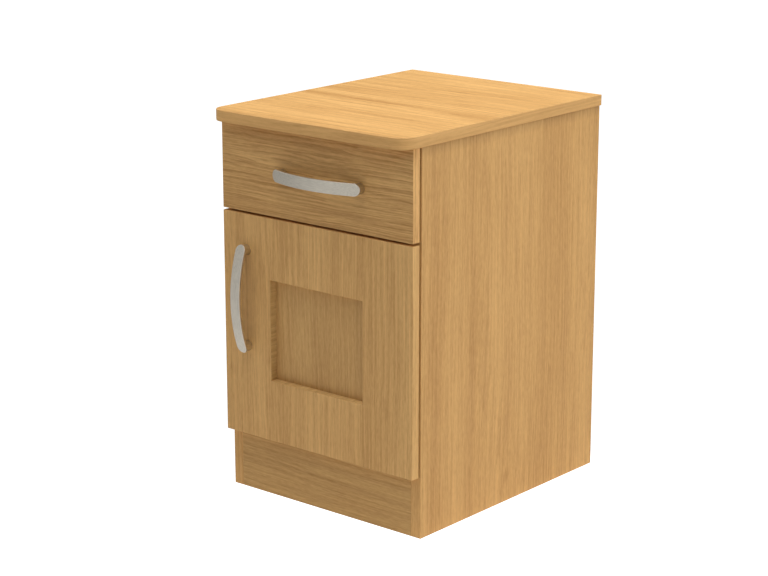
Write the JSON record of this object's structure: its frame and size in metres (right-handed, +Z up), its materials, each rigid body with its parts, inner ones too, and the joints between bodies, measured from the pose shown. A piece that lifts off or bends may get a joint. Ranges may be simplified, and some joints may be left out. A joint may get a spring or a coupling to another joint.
{
  "type": "bedside cabinet",
  "caption": "Wood-finish bedside cabinet: overhanging top, a pull-out drawer on runners, a hinged cupboard door with a sunk field, bow handles and a plinth.",
  "frame": {"origin": "on the floor, at the middle of the overall width and of the overall depth (handles included)", "axes": "+X the cabinet's right as its front is faced from behind the viewer, +Y towards its back, +Z up; the fronts face -Y"},
  "size_m": [0.403, 0.514, 0.64],
  "materials": {
    "laminate": "satin light-oak laminate",
    "back_board": "matt fibreboard with oak paper face",
    "drawer_board": "satin light wood",
    "satin_nickel": "satin nickel",
    "zinc_steel": "bright zinc-plated sheet",
    "screw_steel": "zinc-plated",
    "beech_dowel": "raw beech",
    "bumper": "translucent soft plastic"
  },
  "bodies": {
    "carcass": {"top_panel": "laminate", "left_side_panel": "laminate", "right_side_panel": "laminate", "bottom_panel": "laminate", "drawer_divider": "laminate", "front_stretcher": "laminate", "rear_stretcher": "laminate", "plinth_board": "laminate", "rear_plinth_board": "laminate", "cupboard_shelf": "laminate", "back_panel": "back_board", "left_runner_outer": "zinc_steel", "right_runner_outer": "zinc_steel", "lower_hinge_plate": "zinc_steel", "upper_hinge_plate": "zinc_steel", "lower_hinge_arm": "zinc_steel", "upper_hinge_arm": "zinc_steel", "hinge_arm_pins": "zinc_steel", "shelf_studs": "zinc_steel", "cam_housings": "zinc_steel", "cam_bolts": "zinc_steel", "top_screws": "screw_steel", "back_panel_screws": "screw_steel", "runner_screws": "screw_steel", "hinge_plate_screws": "screw_steel", "hinge_arm_screws": "screw_steel", "wood_dowels": "beech_dowel"},
    "runner_middles": {"left_runner_middle": "zinc_steel", "right_runner_middle": "zinc_steel"},
    "drawer": {"drawer_front": "laminate", "drawer_handle": "satin_nickel", "drawer_box_front": "drawer_board", "drawer_box_back": "drawer_board", "drawer_box_left": "drawer_board", "drawer_box_right": "drawer_board", "drawer_bottom": "drawer_board", "left_runner_inner": "zinc_steel", "right_runner_inner": "zinc_steel", "drawer_box_screws": "screw_steel", "drawer_front_screws": "screw_steel", "drawer_handle_screws": "screw_steel", "drawer_runner_screws": "screw_steel", "drawer_bumpers": "bumper"},
    "hinge_links": {"lower_hinge_link": "zinc_steel", "upper_hinge_link": "zinc_steel"},
    "door": {"door_frame": "laminate", "door_recess_panel": "laminate", "door_handle": "satin_nickel", "door_handle_screws": "screw_steel", "door_bumpers": "bumper", "lower_hinge_cup": "zinc_steel", "upper_hinge_cup": "zinc_steel", "hinge_cup_pins": "zinc_steel", "hinge_cup_screws": "screw_steel"}
  },
  "joints": [
    {"name": "drawer_slide", "type": "slide", "parent": "carcass", "child": "drawer", "axis": [0, -1, 0], "range_m": [0, 0.38]},
    {"name": "runner_middle_slide", "type": "slide", "parent": "carcass", "child": "runner_middles", "axis": [0, -1, 0], "range_m": [0, 0.19]},
    {"name": "hinge_link_turn", "type": "hinge", "parent": "carcass", "child": "hinge_links", "pos_m": [0.17, -0.2055, 0.2865], "axis": [0, 0, 1], "range_deg": [-28.5, 0]},
    {"name": "door_turn", "type": "hinge", "parent": "hinge_links", "child": "door", "pos_m": [0.188, -0.218, 0.2865], "axis": [0, 0, 1], "range_deg": [0, 123.5]}
  ],
  "couplings": [
    {"joint": "runner_middle_slide", "follows": "drawer_slide", "ratio": 0.5},
    {"joint": "hinge_link_turn", "follows": "door_turn", "ratio": -0.23077}
  ]
}
